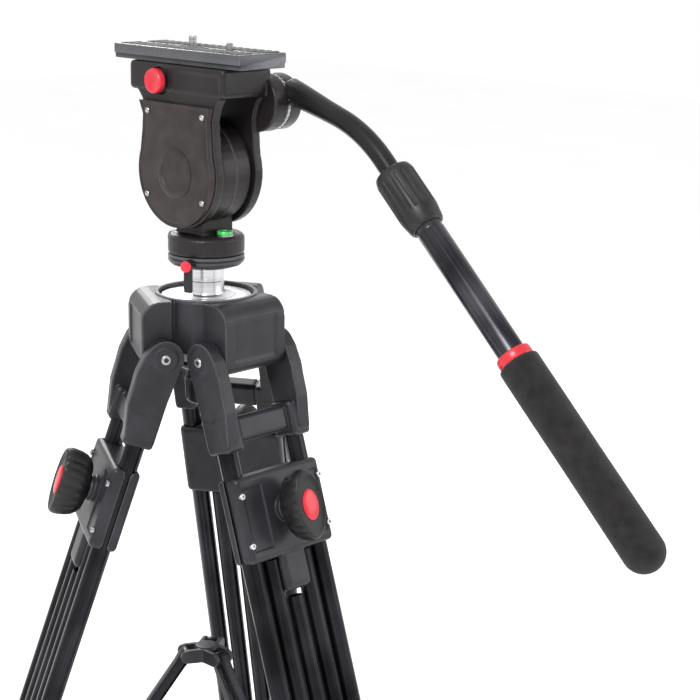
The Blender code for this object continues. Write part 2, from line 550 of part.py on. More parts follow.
def pan_bar(head):
    """The bent rod with its toothed eye, the tube that telescopes on it, the locking collar and the grip."""
    start, centre, end, along = bar_path()
    slope = math.radians(BAR_FIRST_SLOPE)
    first = [start + 55 * MM * Vector((math.cos(slope), math.sin(slope)))]
    bend = [Vector(p) for p in arc(centre, BAR_BEND_R, 90 + BAR_FIRST_SLOPE, 90 + BAR_LAST_SLOPE, 7)]
    route = first + bend + [end + ROD_END * along]

    def swept(bm):
        rings = []
        for i, point in enumerate(route):
            before, after = route[max(i - 1, 0)], route[min(i + 1, len(route) - 1)]
            ahead = (after - before).normalized()
            side = Vector((-ahead.y, ahead.x))
            ring = []
            for step in range(16):
                angle = 2 * math.pi * step / 16
                offset = ROD_R * math.sin(angle) * side
                ring.append(bm.verts.new((BAR_X + ROD_R * math.cos(angle), point.x + offset.x, point.y + offset.y)))
            rings.append(ring)
        for low, high in zip(rings, rings[1:]):
            for i in range(16):
                bm.faces.new((low[i], low[(i + 1) % 16], high[(i + 1) % 16], high[i]))
        bm.faces.new(rings[0])
        bm.faces.new(list(reversed(rings[-1])))
        bmesh.ops.recalc_face_normals(bm, faces=bm.faces)

    y, z = ROSETTE
    made = node("pan_bar_rod", swept, "painted", head, (BAR_X, y, z))
    add(made, lambda bm: rod(bm, ROSETTE_R - 0.5 * MM, (ROSETTE_END + GAP, y, z), (EYE_END, y, z), 28, 1 * MM))
    node("pan_bar_clamp_knob", lambda bm: rod(bm, 11 * MM, (EYE_END + GAP, y, z), (EYE_END + 10 * MM, y, z), 20,
                                                1.5 * MM), "rubber", head, (EYE_END, y, z))

    turn = Vector((0, along.x, along.y)).to_track_quat("Z", "X").to_matrix().to_4x4()
    bar = empty("bar_frame", head, (BAR_X, end.x, end.y), turn)
    tube_start, tube_end = BAR_TUBE
    bore = ROD_R + RUN
    node("pan_bar_tube", lambda bm: turned(bm, [
        (bore, tube_start), (BAR_TUBE_R, tube_start), (BAR_TUBE_R, tube_end), (0, tube_end), (0, tube_end - 170 * MM),
        (bore, tube_end - 170 * MM)], 20), "tube", bar)
    low, high = BAR_COLLAR
    node("pan_bar_collar", lambda bm: turned(bm, [
        (bore, low), (14 * MM, low), (16 * MM, low + 4 * MM), (16 * MM, high - 12 * MM), (14 * MM, high),
        (BAR_TUBE_R + RUN, high), (BAR_TUBE_R + RUN, tube_start - 1 * MM), (bore, tube_start - 1 * MM)], 24),
        "rubber", bar)
    grip_start, grip_end = GRIP
    node("pan_bar_grip", lambda bm: turned(bm, [
        (BAR_TUBE_R + GAP, grip_start), (GRIP_R - 1 * MM, grip_start), (GRIP_R, grip_start + 3 * MM),
        (GRIP_R, grip_end - 9 * MM), (GRIP_R - 3 * MM, grip_end - 2 * MM), (GRIP_R - 8 * MM, grip_end), (0, grip_end),
        (0, tube_end + GAP), (BAR_TUBE_R + GAP, tube_end + GAP)], 24), "foam", bar)


clear_scene()
MATERIALS = {
    "casting": material("casting", (0.09, 0.09, 0.095), 0.5, 0.3),
    "painted": material("painted_head", (0.06, 0.058, 0.06), 0.45, 0.2),
    "cover": material("cover", (0.05, 0.045, 0.045), 0.4),
    "plate": material("plate", (0.1, 0.1, 0.1), 0.35, 0.8),
    "tube": material("anodised_tube", (0.05, 0.05, 0.055), 0.35, 0.8),
    "rubber": material("rubber", (0.02, 0.02, 0.02), 0.7),
    "foam": material("foam_grip", (0.02, 0.02, 0.02), 0.9),
    "steel": material("steel", (0.5, 0.5, 0.5), 0.3, 1.0),
    "bright_metal": material("machined_aluminium", (0.7, 0.7, 0.7), 0.3, 1.0),
    "green": material("level_liquid", (0.1, 0.5, 0.1), 0.2),
    "red": material("red_plastic", (0.6, 0.03, 0.05), 0.4),
}
stand = empty("tripod")
for leg_name, leg_azimuth in LEGS.items():
    leg(leg_name, leg_azimuth, stand)
bowl_casting(stand)
levelling_ball(stand)
spreader(stand)
head_frame = empty("head_frame", stand, (0, 0, HEAD_Z))
pan_base(head_frame)
head_body(head_frame)
tilt_frame(head_frame)
camera_plate(head_frame)
pan_bar(head_frame)

bpy.context.view_layer.update()
solids = [thing for thing in bpy.data.objects if thing.type == "MESH"]
corners = [thing.matrix_world @ vert.co for thing in solids for vert in thing.data.vertices]
lowest = Vector([min(corner[axis] for corner in corners) for axis in range(3)])
highest = Vector([max(corner[axis] for corner in corners) for axis in range(3)])
stand.location = (-(lowest.x + highest.x) / 2, -(lowest.y + highest.y) / 2, -lowest.z)
for thing in solids:
    finish_smooth(thing)
bpy.context.view_layer.update()
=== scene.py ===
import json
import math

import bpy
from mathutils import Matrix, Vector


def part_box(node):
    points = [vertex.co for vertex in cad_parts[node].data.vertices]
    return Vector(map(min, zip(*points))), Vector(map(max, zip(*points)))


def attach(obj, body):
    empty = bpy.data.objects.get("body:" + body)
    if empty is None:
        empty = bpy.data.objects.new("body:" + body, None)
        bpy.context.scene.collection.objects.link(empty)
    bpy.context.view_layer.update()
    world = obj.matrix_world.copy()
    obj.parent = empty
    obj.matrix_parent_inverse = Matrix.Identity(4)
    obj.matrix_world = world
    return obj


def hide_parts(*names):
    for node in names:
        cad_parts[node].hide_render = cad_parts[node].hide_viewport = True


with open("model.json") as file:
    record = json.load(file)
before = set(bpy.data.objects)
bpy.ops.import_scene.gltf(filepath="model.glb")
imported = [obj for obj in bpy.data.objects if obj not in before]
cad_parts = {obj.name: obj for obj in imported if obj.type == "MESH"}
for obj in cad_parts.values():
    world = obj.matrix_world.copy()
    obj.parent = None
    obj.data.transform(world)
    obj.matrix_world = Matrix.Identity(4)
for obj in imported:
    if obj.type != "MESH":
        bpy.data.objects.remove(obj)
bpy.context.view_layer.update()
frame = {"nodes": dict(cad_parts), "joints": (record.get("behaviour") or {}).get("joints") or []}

# A video tripod with a levelling bowl and a fluid head. Lengths in the lists below are millimetres, in these
# frames: the head's, with its origin under the middle of the pan base; a leg's, with its origin on the
# hinge, X outwards, Z up along the leg and Y across it; and the pan bar's, with Z down the bar from the
# end of its bend.

MM = 0.001
LEGS = ("rear", "front_right", "front_left")
JOINTS = {joint["name"]: joint for joint in frame["joints"]}


# ---------------------------------------------------------------- frames

def axes(origin, z, y):
    """A frame from its origin, its Z and its Y direction, which are square to each other."""
    z, y = Vector(z).normalized(), Vector(y).normalized()
    x = y.cross(z)
    return Matrix.Translation(origin) @ Matrix((x, y, z)).transposed().to_4x4()


def leg_frame(leg):
    hinge = JOINTS[f"{leg}_leg_fold"]
    return axes(hinge["pos_m"], -Vector(JOINTS[f"{leg}_middle_stage_slide"]["axis"]), hinge["axis"])


LEG_FRAMES = {leg: leg_frame(leg) for leg in LEGS}
PAN = Vector(JOINTS["pan"]["pos_m"])
PAN_HEIGHT = 10  # the pan joint's height in the head
HEAD = Matrix.Translation(PAN - Vector((0, 0, PAN_HEIGHT * MM)))
BALL = Matrix.Translation(JOINTS["level_pitch"]["pos_m"])
BAR_WAY = Vector(JOINTS["bar_extend"]["axis"])
COLLAR_JOINT = 40  # how far down the bar the collar turns
BAR = axes(Vector(JOINTS["bar_collar_turn"]["pos_m"]) - COLLAR_JOINT * MM * BAR_WAY, BAR_WAY, (1, 0, 0))
TO_RIGHT = Matrix.Rotation(math.pi / 2, 4, "Y")  # stands a turned piece's Z along +X
TO_LEFT = Matrix.Rotation(-math.pi / 2, 4, "Y")
SIDE_ON = Matrix(((0, 0, 1, 0), (1, 0, 0, 0), (0, 1, 0, 0), (0, 0, 0, 1)))  # an outline's X, Y become Y, Z


def at(*place):
    """A move by millimetres."""
    return Matrix.Translation(Vector(place) * MM)


def in_head(joint):
    """The move from the head's origin to a joint."""
    return Matrix.Translation(HEAD.inverted() @ Vector(JOINTS[joint]["pos_m"]))


# ---------------------------------------------------------------- modelling

def only(thing=None):
    """Leaves nothing selected but this object, in object mode."""
    if bpy.context.object and bpy.context.object.mode != "OBJECT":
        bpy.ops.object.mode_set(mode="OBJECT")
    bpy.ops.object.select_all(action="DESELECT")
    if thing:
        thing.select_set(True)
        bpy.context.view_layer.objects.active = thing


def pick(thing, test, kind="FACE"):
    """Opens the mesh with only the faces, edges or vertices that pass the test selected."""
    only(thing)
    bpy.ops.object.mode_set(mode="EDIT")
    bpy.ops.mesh.select_mode(type=kind)
    bpy.ops.mesh.select_all(action="DESELECT")
    bpy.ops.object.mode_set(mode="OBJECT")
    mesh = thing.data
    for part in {"FACE": mesh.polygons, "EDGE": mesh.edges, "VERT": mesh.vertices}[kind]:
        part.select = bool(test(part))
    bpy.ops.object.mode_set(mode="EDIT")


def modify(thing, kind, **settings):
    """Adds a modifier and applies it."""
    only(thing)
    added = thing.modifiers.new(kind.title(), kind)
    for key, value in settings.items():
        setattr(added, key, value)
    bpy.ops.object.modifier_apply(modifier=added.name)
    return thing


def rounded(thing, width, segments=2, angle=30):
    """Bevels the edges that are sharper than this angle."""
    return modify(thing, "BEVEL", width=width * MM, segments=segments, limit_method="ANGLE",
                  angle_limit=math.radians(angle), harden_normals=False)


def cast(thing, grain, rounds=3):
    """Melts sharp corners into the soft edges of a casting."""
    modify(thing, "REMESH", mode="VOXEL", voxel_size=grain * MM)
    return modify(thing, "SMOOTH", factor=0.6, iterations=rounds)


def combine(thing, tool, operation):
    """Cuts or joins with a second piece, which is used up."""
    modify(thing, "BOOLEAN", operation=operation, object=tool, solver="EXACT")
    bpy.data.objects.remove(tool, do_unlink=True)
    return thing


def cut(thing, tool):
    return combine(thing, tool, "DIFFERENCE")


def join(thing, tool):
    return combine(thing, tool, "UNION")


def placed(thing, where):
    """Puts a piece where it belongs and writes the place into its mesh."""
    only(thing)
    thing.matrix_world = where @ thing.matrix_world
    bpy.ops.object.transform_apply(location=True, rotation=True, scale=True)
    return thing


def drawn(name, outline, closed):
    """A line drawn point by point, by extruding one vertex along the outline."""
    only()
    bpy.ops.mesh.primitive_plane_add(size=MM, location=(0, 0, 0))
    thing = bpy.context.object
    thing.name = thing.data.name = name
    bpy.ops.object.mode_set(mode="EDIT")
    bpy.ops.mesh.select_mode(type="VERT")
    bpy.ops.mesh.select_all(action="SELECT")
    bpy.ops.mesh.merge(type="CENTER")
    here = Vector((0, 0, 0))
    for number, point in enumerate(outline):
        there = Vector(point) * MM
        if number:
            bpy.ops.mesh.extrude_region_move(TRANSFORM_OT_translate={"value": there - here})
        else:
            bpy.ops.transform.translate(value=there)
        here = there
    bpy.ops.mesh.select_all(action="SELECT")
    if closed:
        bpy.ops.mesh.edge_face_add()
    return thing


def turned(name, profile, steps=48):
    """A piece turned on a lathe about Z, from its (radius, height) outline."""
    thing = drawn(name, [(radius, 0, height) for radius, height in profile], closed=False)
    bpy.ops.mesh.spin(steps=steps, angle=2 * math.pi, center=(0, 0, 0), axis=(0, 0, 1))
    bpy.ops.mesh.select_all(action="SELECT")
    bpy.ops.mesh.remove_doubles(threshold=1e-6)
    bpy.ops.mesh.normals_make_consistent(inside=False)
    only(thing)
    return thing


def swept(name, path, radii, sides=40):
    """A round bar bent in the YZ plane: its end disc is extruded, turned and resized along the path."""
    points = [Vector(point) * MM for point in path]
    ways = [after - before for before, after in zip(points[:1] + points[:-1], points[1:] + points[-1:])]
    slopes = [math.atan2(way.z, way.y) for way in ways]
    only()
    bpy.ops.mesh.primitive_circle_add(vertices=sides, radius=radii[0] * MM, fill_type="NGON",
                                      location=points[0], rotation=(slopes[0] - math.pi / 2, 0, 0))
    thing = bpy.context.object
    thing.name = thing.data.name = name
    bpy.ops.object.transform_apply(location=True, rotation=True, scale=True)
    bpy.ops.object.mode_set(mode="EDIT")
    bpy.ops.mesh.select_all(action="SELECT")
    for i in range(1, len(points)):
        turn = (slopes[i] - slopes[i - 1] + math.pi) % (2 * math.pi) - math.pi
        bpy.ops.mesh.extrude_region_move(TRANSFORM_OT_translate={"value": points[i] - points[i - 1]})
        bpy.ops.transform.rotate(value=-turn, orient_axis="X", orient_type="GLOBAL",
                                 center_override=points[i])
        bpy.ops.transform.resize(value=[radii[i] / radii[i - 1]] * 3, center_override=points[i])
    bpy.ops.mesh.select_all(action="SELECT")
    bpy.ops.mesh.normals_make_consistent(inside=False)
    only(thing)
    return rounded(thing, 0.8, 2, 60)


def sheet_cut(name, outline, depth):
    """A piece cut from plate: a flat outline in X and Y, made this thick along Z."""
    thing = drawn(name, [(x, y, 0) for x, y in outline], closed=True)
    bpy.ops.mesh.extrude_region_move(TRANSFORM_OT_translate={"value": (0, 0, depth * MM)})
    bpy.ops.mesh.select_all(action="SELECT")
    bpy.ops.mesh.normals_make_consistent(inside=False)
    only(thing)
    return thing


def block(name, x, y, z, bevel=0.0, segments=3):
    """A block between the two values of each axis, with its edges rounded."""
    only()
    centre = [(low + high) / 2 * MM for low, high in (x, y, z)]
    bpy.ops.mesh.primitive_cube_add(size=1, location=centre)
    thing = bpy.context.object
    thing.name = thing.data.name = name
    bpy.ops.object.mode_set(mode="EDIT")
    bpy.ops.mesh.select_all(action="SELECT")
    bpy.ops.transform.resize(value=[(high - low) * MM for low, high in (x, y, z)])
    only(thing)
    bpy.ops.object.transform_apply(location=True, rotation=False, scale=False)
    return rounded(thing, bevel, segments) if bevel else thing


def bar_between(name, radius, start, end, sides=32):
    """A plain round bar, used to cut bores and to join bosses."""
    start, end = Vector(start) * MM, Vector(end) * MM
    only()
    bpy.ops.mesh.primitive_cylinder_add(vertices=sides, radius=radius * MM, depth=(end - start).length)
    thing = bpy.context.object
    thing.name = thing.data.name = name
    turn = (end - start).to_track_quat("Z", "Y").to_matrix().to_4x4()
    return placed(thing, Matrix.Translation((start + end) / 2) @ turn)


def fluted(thing, radius, low, high, count, depth):
    """Cuts grip flutes: every second side face between two heights is inset and pushed in."""
    step = 2 * math.pi / count

    def on_flute(face):
        centre = face.center
        across = math.hypot(centre.x, centre.y)
        sector = int((math.atan2(centre.y, centre.x) + 2 * math.pi) / (step / 2))
        return (abs(across - radius * MM) < 0.9 * MM and low * MM < centre.z < high * MM
                and abs(face.normal.z) < 0.5 and sector % 2 == 0)

    pick(thing, on_flute)
    bpy.ops.mesh.inset(thickness=0.25 * MM, depth=0, use_individual=False)
    bpy.ops.transform.shrink_fatten(value=-depth * MM)
    only(thing)
    return thing


def smoothed(thing, angle=35):
    """Shades smooth across the edges that are flatter than this angle."""
    only(thing)
    bpy.ops.object.shade_smooth_by_angle(angle=math.radians(angle))
    return thing


def cad_copy(node, name, into):
    """A copy of a CAD node in another frame, its loose triangles joined, as the start of a finished piece."""
    thing = frame["nodes"][node].copy()
    thing.data = thing.data.copy()
    thing.name = thing.data.name = name
    thing.animation_data_clear()
    bpy.context.scene.collection.objects.link(thing)
    placed(thing, into.inverted())
    pick(thing, lambda vert: True, "VERT")
    bpy.ops.mesh.remove_doubles(threshold=1e-6)
    only(thing)
    return thing


def twin(thing, name):
    """A copy with its own mesh."""
    made = thing.copy()
    made.data = thing.data.copy()
    made.name = made.data.name = name
    bpy.context.scene.collection.objects.link(made)
    return made


def arc(centre, radius, start, end, steps):
    """The points of an arc, from one angle in degrees to another."""
    angles = [math.radians(start + (end - start) * i / steps) for i in range(steps + 1)]
    return [(centre[0] + radius * math.cos(a), centre[1] + radius * math.sin(a)) for a in angles]


# ---------------------------------------------------------------- materials

def linear(colour):
    """An sRGB hex value as the linear colour that a shader takes."""
    parts = [int(colour[i:i + 2], 16) / 255 for i in (0, 2, 4)]
    return [*(c / 12.92 if c <= 0.04045 else ((c + 0.055) / 1.055) ** 2.4 for c in parts), 1.0]


def add(tree, kind, inputs, **settings):
    """Adds a node. Its inputs are values, or the sockets that feed them."""
    made = tree.nodes.new(kind)
    for key, value in settings.items():
        setattr(made, key, value)
    for key, value in inputs.items():
        if isinstance(value, bpy.types.NodeSocket):
            tree.links.new(value, made.inputs[key])
        else:
            made.inputs[key].default_value = value
    return made


def surface(name, roughness, metallic=0.0, **constants):
    """A new material: its node tree, its shader, and where on the piece each point is."""
    made = bpy.data.materials.new(name)
    made.use_nodes = True
    tree = made.node_tree
    shader = tree.nodes["Principled BSDF"]
    shader.inputs["Roughness"].default_value = roughness
    shader.inputs["Metallic"].default_value = metallic
    for key, value in constants.items():
        shader.inputs[key.replace("_", " ")].default_value = value
    return made, tree, shader, tree.nodes.new("ShaderNodeTexCoord").outputs["Object"]


def dress(tree, shader, tone, dark, light, relief, depth, strength=0.6, shine=None):
    """Wires the patterns to the shader, and returns the colour between the two tones.

    Tone is a pattern and the two values of it that give the dark and the light tone. Shine is the same,
    with the least and the most roughness. Relief is a pattern, with its depth in millimetres.
    """
    share = add(tree, "ShaderNodeMapRange", dict(enumerate(tone))).outputs[0]
    colour = add(tree, "ShaderNodeMix", {0: share, 6: linear(dark), 7: linear(light)},
                 data_type="RGBA").outputs[2]
    tree.links.new(colour, shader.inputs["Base Color"])
    if shine:
        gloss = add(tree, "ShaderNodeMapRange", dict(enumerate(shine)))
        tree.links.new(gloss.outputs[0], shader.inputs["Roughness"])
    raised = add(tree, "ShaderNodeBump", {"Height": relief, "Distance": depth * MM, "Strength": strength})
    tree.links.new(raised.outputs[0], shader.inputs["Normal"])
    return colour


def coated_casting(name, dark, light, worn, grain, roughness, metallic=0.0):
    """A coat on metal: a fine orange peel, slow changes of tone, and paler rubbed edges.

    The real grain is a tenth or two of a millimetre and is drawn coarser, so that it shows.
    """
    made, tree, shader, where = surface(name, roughness, metallic, Specular_IOR_Level=0.3)
    fine, slow = [add(tree, "ShaderNodeTexNoise", {"Vector": where, "Scale": 1 / (size * MM), "Detail": 3.0})
                  .outputs[0] for size in (grain, 28)]
    colour = dress(tree, shader, (slow, 0.35, 0.65), dark, light, fine, 0.12,
                   shine=(fine, 0.3, 0.7, roughness - 0.07, roughness + 0.09))
    edge = tree.nodes.new("ShaderNodeNewGeometry").outputs["Pointiness"]
    sharp = add(tree, "ShaderNodeMapRange", {0: edge, 1: 0.515, 2: 0.60, 3: 0.0, 4: 0.75})
    patchy = add(tree, "ShaderNodeMapRange", {0: fine, 1: 0.35, 2: 0.6, 3: 0.3, 4: 1.0})
    rub = add(tree, "ShaderNodeMath", {0: sharp.outputs[0], 1: patchy.outputs[0]}, operation="MULTIPLY")
    rubbed = add(tree, "ShaderNodeMix", {0: rub.outputs[0], 6: colour, 7: linear(worn)}, data_type="RGBA")
    tree.links.new(rubbed.outputs[2], shader.inputs["Base Color"])
    return made


def drawn_metal(name, dark, light, roughness, direction):
    """Anodised drawn tube: lines along its length, which break its highlight, and slow changes of tone.

    The die's lines are finer than 0.1 mm and are drawn half a millimetre wide, so that they show.
    """
    made, tree, shader, where = surface(name, roughness, 0.85)
    along = add(tree, "ShaderNodeMapping", {"Vector": where, "Rotation": direction.to_euler(),
                                            "Scale": (0.5 * MM, 0.5 * MM, 90 * MM)}, vector_type="TEXTURE")
    lines = add(tree, "ShaderNodeTexNoise", {"Vector": along.outputs[0], "Scale": 1.0, "Detail": 4.0})
    slow = add(tree, "ShaderNodeTexNoise", {"Vector": where, "Scale": 1 / (45 * MM), "Detail": 2.0})
    blend = add(tree, "ShaderNodeMath", {0: lines.outputs[0], 1: slow.outputs[0]}, operation="MULTIPLY")
    dress(tree, shader, (blend.outputs[0], 0.15, 0.38), dark, light, lines.outputs[0], 0.03, 0.35,
          shine=(lines.outputs[0], 0.3, 0.7, roughness - 0.06, roughness + 0.12))
    return made


def moulded(name, dark, light, grain, depth, roughness, **constants):
    """Moulded rubber or plastic: the grain of its mould, drawn coarse enough to show, and a little dust."""
    made, tree, shader, where = surface(name, roughness, **constants)
    fine, dust = [add(tree, "ShaderNodeTexNoise", {"Vector": where, "Scale": 1 / (size * MM), "Detail": 4.0})
                  .outputs[0] for size in (grain, 14)]
    dress(tree, shader, (dust, 0.4, 0.7), dark, light, fine, depth,
          shine=(dust, 0.35, 0.7, roughness - 0.06, roughness + 0.08))
    return made


def foam():
    """Closed cell foam sleeve: no shine, and pores under a millimetre, drawn as 1.1 mm cells to show."""
    made, tree, shader, where = surface("closed cell foam rubber", 0.92, Specular_IOR_Level=0.25,
                                        Sheen_Weight=0.08, Sheen_Roughness=0.6)
    cells = add(tree, "ShaderNodeTexVoronoi", {"Vector": where, "Scale": 1 / (1.1 * MM)}).outputs["Distance"]
    slow = add(tree, "ShaderNodeTexNoise", {"Vector": where, "Scale": 1 / (9 * MM), "Detail": 4.0})
    dress(tree, shader, (slow.outputs[0], 0.3, 0.7), "151314", "232122", cells, 0.25, 0.7)
    return made


def lathed(name, dark, light, roughness):
    """Bare metal off the lathe: the tool's rings, stacked upwards and drawn 0.35 mm apart, to show."""
    made, tree, shader, where = surface(name, roughness, 1.0)
    rings = add(tree, "ShaderNodeMapping", {"Vector": where, "Scale": (60 * MM, 60 * MM, 0.35 * MM)},
                vector_type="TEXTURE")
    lines = add(tree, "ShaderNodeTexNoise", {"Vector": rings.outputs[0], "Scale": 1.0,
                                             "Detail": 3.0}).outputs[0]
    dress(tree, shader, (lines, 0.35, 0.65), dark, light, lines, 0.02, 0.4,
          shine=(lines, 0.3, 0.7, roughness - 0.05, roughness + 0.1))
    return made


def level_liquid():
    """Tinted spirit behind a clear acrylic window: a bright green with a wet shine."""
    made, tree, shader, where = surface("tinted spirit under acrylic", 0.08, IOR=1.49, Coat_Weight=1.0,
                                        Coat_Roughness=0.04)
    cloud = add(tree, "ShaderNodeTexNoise", {"Vector": where, "Scale": 1 / (5 * MM), "Detail": 2.0}).outputs[0]
    dress(tree, shader, (cloud, 0.35, 0.65), "16a33a", "35d85c", cloud, 0.02, 0.2)
    return made


# Powder coat over die cast aluminium: a soft charcoal sheen on the legs' castings.
COATED = coated_casting("powder coated die cast aluminium", "1d1d20", "2a2a2f", "7a7b83", 0.7, 0.36)
# Baked wrinkle paint over magnesium: warmer and darker than the legs.
HEAD_PAINT = coated_casting("wrinkle painted die cast magnesium", "171415", "221d1e", "625b5c", 0.9, 0.36)
# Nylon from a spark eroded mould: matt and a little brown.
COVER = moulded("matt moulded nylon cover", "221c1b", "322a28", 0.6, 0.10, 0.40, Specular_IOR_Level=0.35)
# Machined, blasted and anodised plate: dark, with a satin shine and bright worn edges.
DECK = coated_casting("satin anodised plate aluminium", "202124", "303135", "8f9095", 0.5, 0.32, 0.3)
# Compression moulded rubber: black, hardly any shine.
RUBBER = moulded("moulded black rubber", "131213", "1f1d1e", 0.5, 0.10, 0.6, Specular_IOR_Level=0.3)
# Ribbed rubber strip: greyer than the plate, dusty.
PAD = moulded("ribbed rubber pad", "4a494a", "6c6b6c", 0.9, 0.16, 0.7)
# Injection moulded nylon with glass fibre: black with a dull shine.
KNOB = moulded("glass filled black nylon", "161517", "242325", 0.4, 0.08, 0.42, Specular_IOR_Level=0.35)
# ABS from a polished mould: a bright red with a clean highlight.
RED = moulded("glossy red ABS", "c01c2c", "d8303f", 1.2, 0.02, 0.28)
FOAM = foam()
# Zinc plated steel: grey, with a broken highlight.
STEEL = lathed("zinc plated steel", "8c8c90", "c4c4c8", 0.3)
# Turned aluminium left bare: almost white.
BRIGHT = lathed("bare turned aluminium", "c9c9cc", "f2f2f4", 0.26)
LIQUID = level_liquid()
# The bubble, a pale lens on the green: its pale colour is partly the untinted air and partly a painted
# highlight.
BUBBLE_AND_HIGHLIGHT = moulded("air bubble highlight", "b9f0bd", "d8ffd9", 2.0, 0.01, 0.1)
# Drawn aluminium tube, anodised black: long bright streaks down each leg.
TUBES = {leg: drawn_metal(f"black anodised drawn tube {leg}", "121214", "2e2e33", 0.24, LEG_FRAMES[leg])
         for leg in LEGS}
# The same tube anodised grey.
BAR_TUBE = drawn_metal("grey anodised bar tube", "222125", "504f55", 0.23, BAR)
# Enamelled steel: the glossiest black.
BAR_ROD = coated_casting("black enamelled steel bar", "161516", "201e20", "4c4a4e", 0.8, 0.3, 0.2)


def finish(thing, material, body, *stands_for, angle=35):
    """Gives a finished piece its material, its body and the CAD nodes it is shown instead of."""
    smoothed(thing, angle)
    thing.data.materials.clear()
    thing.data.materials.append(material)
    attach(thing, body)
    if stands_for:
        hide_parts(*stands_for)
    return thing


# ---------------------------------------------------------------- legs, modelled once in a leg's frame

def tube(name, radius, wall, across, low, high):
    """A drawn tube with an open, rounded mouth at each end."""
    bore = radius - wall
    made = turned(name, [(bore, low), (radius - 0.4, low), (radius, low + 0.4), (radius, high - 0.4),
                         (radius - 0.4, high), (bore, high), (bore, low)], 40)
    return placed(made, at(0, across, 0))


def socket_screw(name, radius, height):
    """A cap screw's head with its hexagon socket."""
    made = turned(name, [(0, 0), (radius, 0), (radius, height - 0.4), (radius - 0.4, height),
                         (0, height)], 24)
    only()
    bpy.ops.mesh.primitive_cylinder_add(vertices=6, radius=0.5 * radius * MM, depth=height * MM,
                                        location=(0, 0, height * MM))
    return cut(made, bpy.context.object)


def clevis():
    """The leg's fork, with a boss round each end of the hinge bolt and a small pocket below it."""
    made = cad_copy("rear_clevis", "clevis", LEG_FRAMES["rear"])
    for side in (-1, 1):
        face = side * 45.3
        join(made, bar_between("boss", 9.5, (0, side * 40, 0), (0, face + side * 1.2, 0)))
        cut(made, bar_between("pocket", 5.2, (0, face, -44), (0, face + side * 3, -44)))
    return cast(made, 0.85)


def hinge_bolt():
    """The bolt across the hinge, with a hexagon socket in both ends."""
    made = turned("hinge_bolt", [(0, -47.4), (3.2, -47.4), (3.9, -46.8), (3.9, 46.8), (3.2, 47.4),
                                 (0, 47.4)], 32)
    placed(made, Matrix.Rotation(-math.pi / 2, 4, "X"))
    for side in (-1, 1):
        only()
        bpy.ops.mesh.primitive_cylinder_add(vertices=6, radius=2.2 * MM, depth=4 * MM,
                                            location=(0, side * 47.4 * MM, 0), rotation=(math.pi / 2, 0, 0))
        cut(made, bpy.context.object)
    return made


def collar():
    """The clamping collar, its lower tongue, the knob's boss and the split of each tube clamp."""
    made = block("collar", (-10.8, 12.8), (-45.8, 45.8), (-164.8, -95.2), 4)
    join(made, block("tongue", (-9, 11.5), (-14, 14), (-194.5, -160), 5))
    join(made, bar_between("boss", 11, (10, 0, -128), (17.6, 0, -128), 40))
    for side in (-1, 1):
        cut(made, bar_between("bore", 8.4, (0, side * 36.8, -170), (0, side * 36.8, -90), 40))
        cut(made, bar_between("guide", 7.8, (0, side * 18.4, -200), (0, side * 18.4, -164), 40))
        cut(made, block("split", (-2, 2), sorted((side * 43, side * 48)), (-170, -90)))
        cut(made, block("panel", (11.8, 14), sorted((side * 20, side * 41)), (-156, -104), 0.8))
    return cast(made, 0.8)


def crossbar():
    made = cad_copy("rear_crossbar", "crossbar", LEG_FRAMES["rear"])
    cut(made, block("panel", (11.5, 14), (-30, 30), (-541, -523), 0.8))
    return cast(made, 0.9)


def lower_block():
    made = cad_copy("rear_lower_block", "lower_block", LEG_FRAMES["rear"])
    return cast(made, 0.85)


def oblong_knob(name, z, start, depth, half_width, half_height):
    """A tapered oblong knob: rings of an ellipse pushed outwards, with finger flutes along its sides."""
    only()
    bpy.ops.mesh.primitive_circle_add(vertices=48, radius=1, fill_type="NGON")
    made = bpy.context.object
    made.name = made.data.name = name
    bpy.ops.object.mode_set(mode="EDIT")
    bpy.ops.mesh.select_all(action="SELECT")
    bpy.ops.transform.resize(value=(0.62 * half_width * MM, 0.62 * half_height * MM, 1))
    grown = 0.62
    for rise, size in ((1.5, 0.72), (5, 0.93), (0.62 * depth - 6.5, 0.985), (0.2 * depth, 1.0),
                       (0.12 * depth, 0.95), (0.06 * depth, 0.86)):
        bpy.ops.mesh.extrude_region_move(TRANSFORM_OT_translate={"value": (0, 0, rise * MM)})
        bpy.ops.transform.resize(value=(size / grown, size / grown, 1))
        grown = size
    bpy.ops.mesh.inset(thickness=1.6 * MM, depth=-2.4 * MM)
    only(made)

    def flute(face):
        turn = math.degrees(math.atan2(face.center.y / half_height, face.center.x / half_width)) % 15
        wall = 6 * MM < face.center.z < 0.9 * depth * MM and abs(face.normal.z) < 0.4
        return wall and turn < 7.5 and abs(face.center.y) < 0.8 * half_height * MM

    pick(made, flute)
    bpy.ops.mesh.inset(thickness=0.35 * MM, depth=0)
    bpy.ops.transform.shrink_fatten(value=-0.9 * MM)
    only(made)
    modify(made, "SUBSURF", levels=1, render_levels=1)
    return placed(made, at(start, 0, z) @ SIDE_ON)


def knob_cap(name, z, face, half_width, half_height):
    """The oval cap set in a knob's face, slightly domed."""
    only()
    bpy.ops.mesh.primitive_circle_add(vertices=40, radius=1, fill_type="NGON")
    made = bpy.context.object
    made.name = made.data.name = name
    bpy.ops.object.mode_set(mode="EDIT")
    bpy.ops.mesh.select_all(action="SELECT")
    bpy.ops.transform.resize(value=(half_width * MM, half_height * MM, 1))
    for rise, size in ((1.2, 1.0), (0.5, 0.93), (0.35, 0.8), (0.2, 0.55)):
        bpy.ops.mesh.extrude_region_move(TRANSFORM_OT_translate={"value": (0, 0, rise * MM)})
        bpy.ops.transform.resize(value=(size, size, 1))
    bpy.ops.mesh.select_all(action="SELECT")
    bpy.ops.mesh.normals_make_consistent(inside=False)
    only(made)
    return placed(made, at(face, 0, z) @ SIDE_ON)


